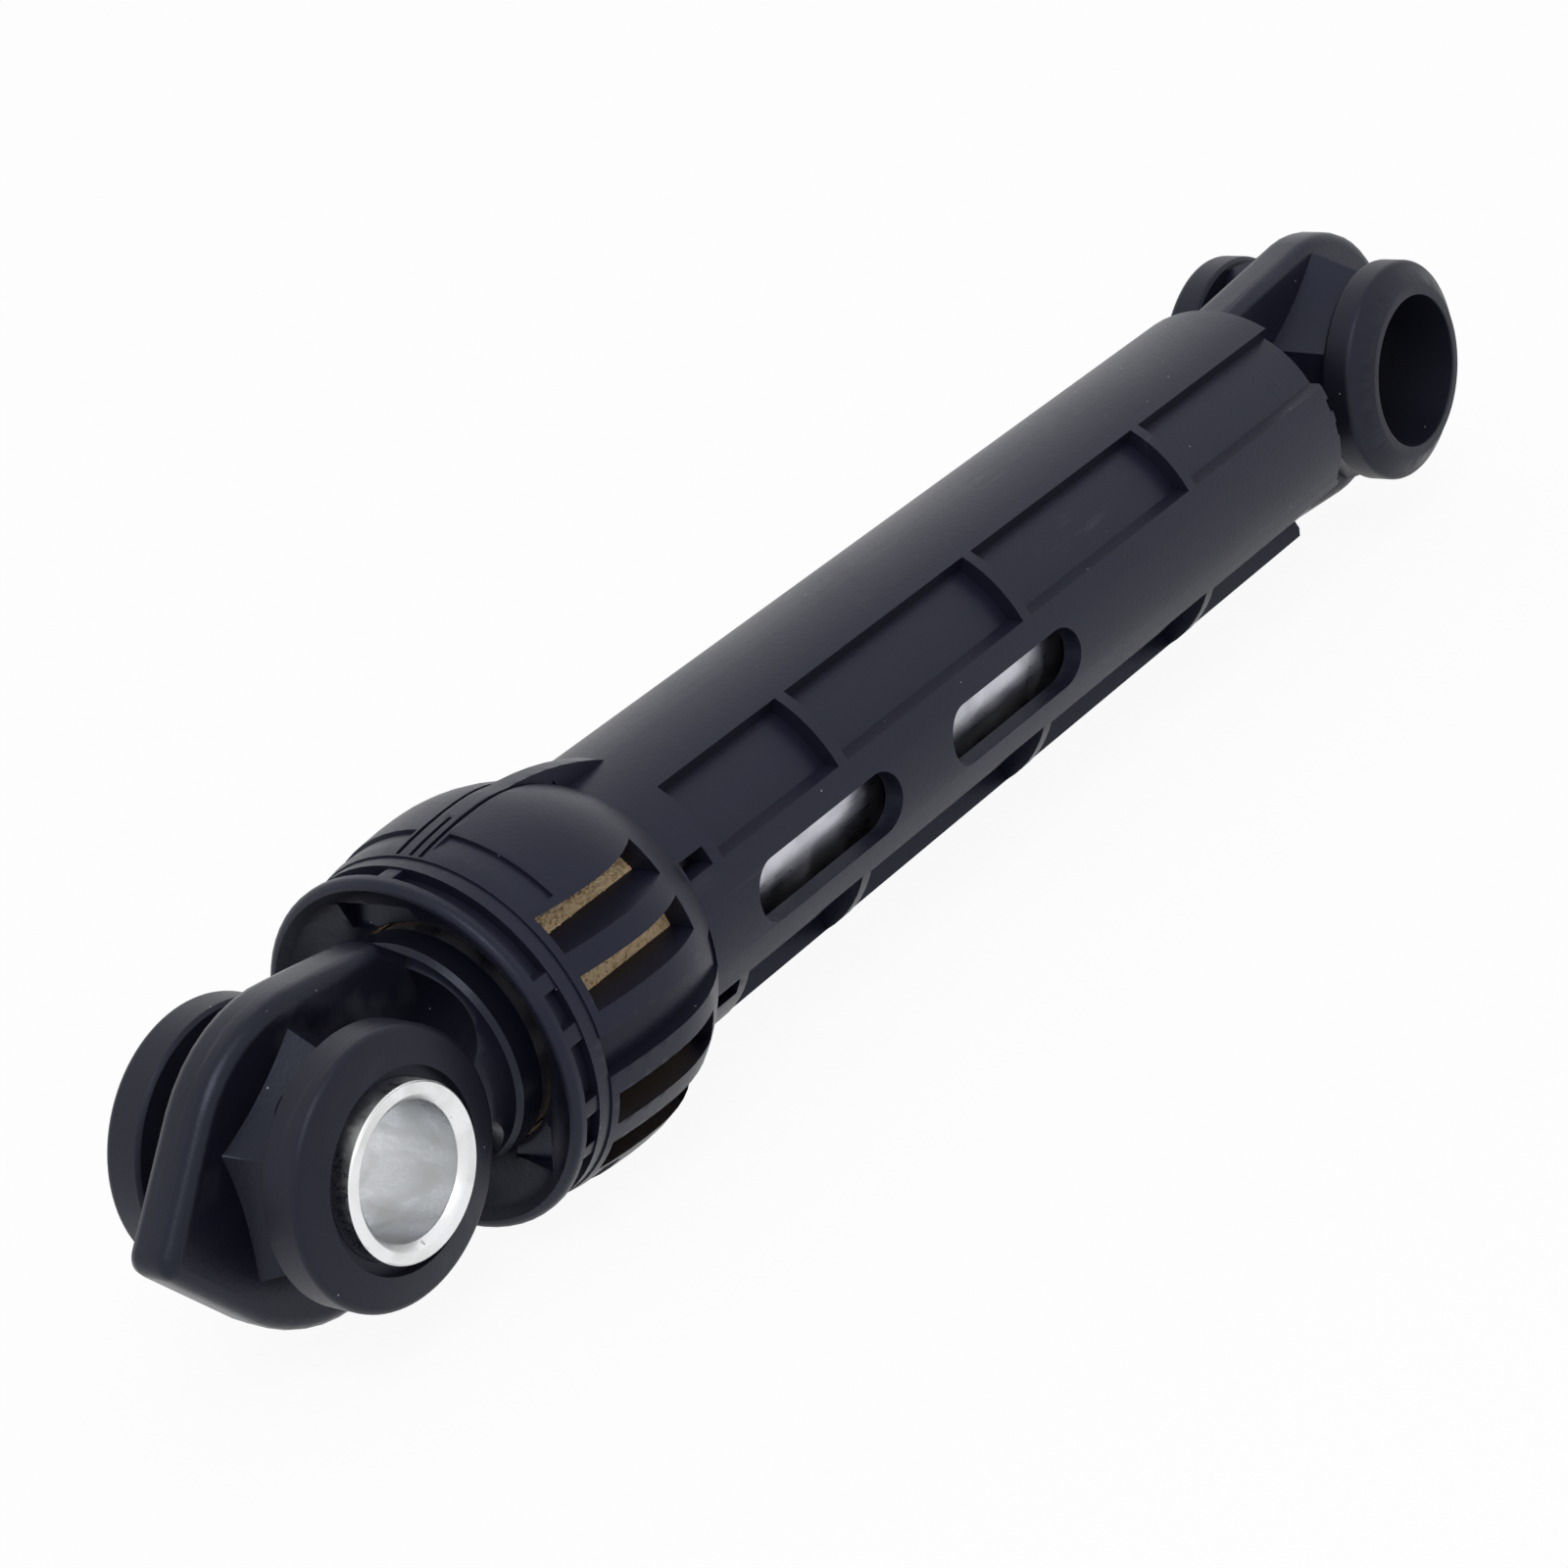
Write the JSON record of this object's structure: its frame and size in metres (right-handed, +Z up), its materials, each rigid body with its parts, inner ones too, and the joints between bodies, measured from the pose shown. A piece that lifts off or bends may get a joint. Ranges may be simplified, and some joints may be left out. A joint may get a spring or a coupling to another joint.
{
  "type": "washing machine shock absorber",
  "caption": "Friction damper for a washing machine drum: a steel rod slides in a moulded housing against a foam ring, with a bushed eye at each end.",
  "frame": {"origin": "centre of the pin bore in the housing eye, in the middle plane of the damper", "axes": "+X along the damper to the rod eye, +Y along the bores of both eyes, +Z up and square to both"},
  "size_m": [0.1746, 0.0302, 0.0304],
  "materials": {
    "housing_plastic": "moulded, with a satin skin",
    "lining_foam": "open-cell foam strip, greased",
    "bush_rubber": "moulded rubber, satin",
    "guide_plastic": "natural plastic",
    "rod_steel": "drawn tube, smooth",
    "eye_plastic": "moulded, with a satin skin",
    "sleeve_steel": "zinc plated"
  },
  "bodies": {
    "housing": {"housing": "housing_plastic", "friction_lining": "lining_foam", "housing_bush": "bush_rubber"},
    "guide": {"rod_guide": "guide_plastic"},
    "rod": {"rod_tube": "rod_steel", "rod_eye": "eye_plastic", "rod_bush": "bush_rubber"},
    "sleeve": {"rod_sleeve": "sleeve_steel"}
  },
  "joints": [
    {"name": "rod_slide", "type": "slide", "parent": "housing", "child": "guide", "axis": [1, 0, 0], "range_m": [0, 0.074]},
    {"name": "rod_turn", "type": "hinge", "parent": "guide", "child": "rod", "pos_m": [0.076, 0, 0], "axis": [1, 0, 0], "continuous": true},
    {"name": "sleeve_turn", "type": "hinge", "parent": "rod", "child": "sleeve", "pos_m": [0.146, 0, 0], "axis": [0, 1, 0], "range_deg": [-25, 25]}
  ]
}
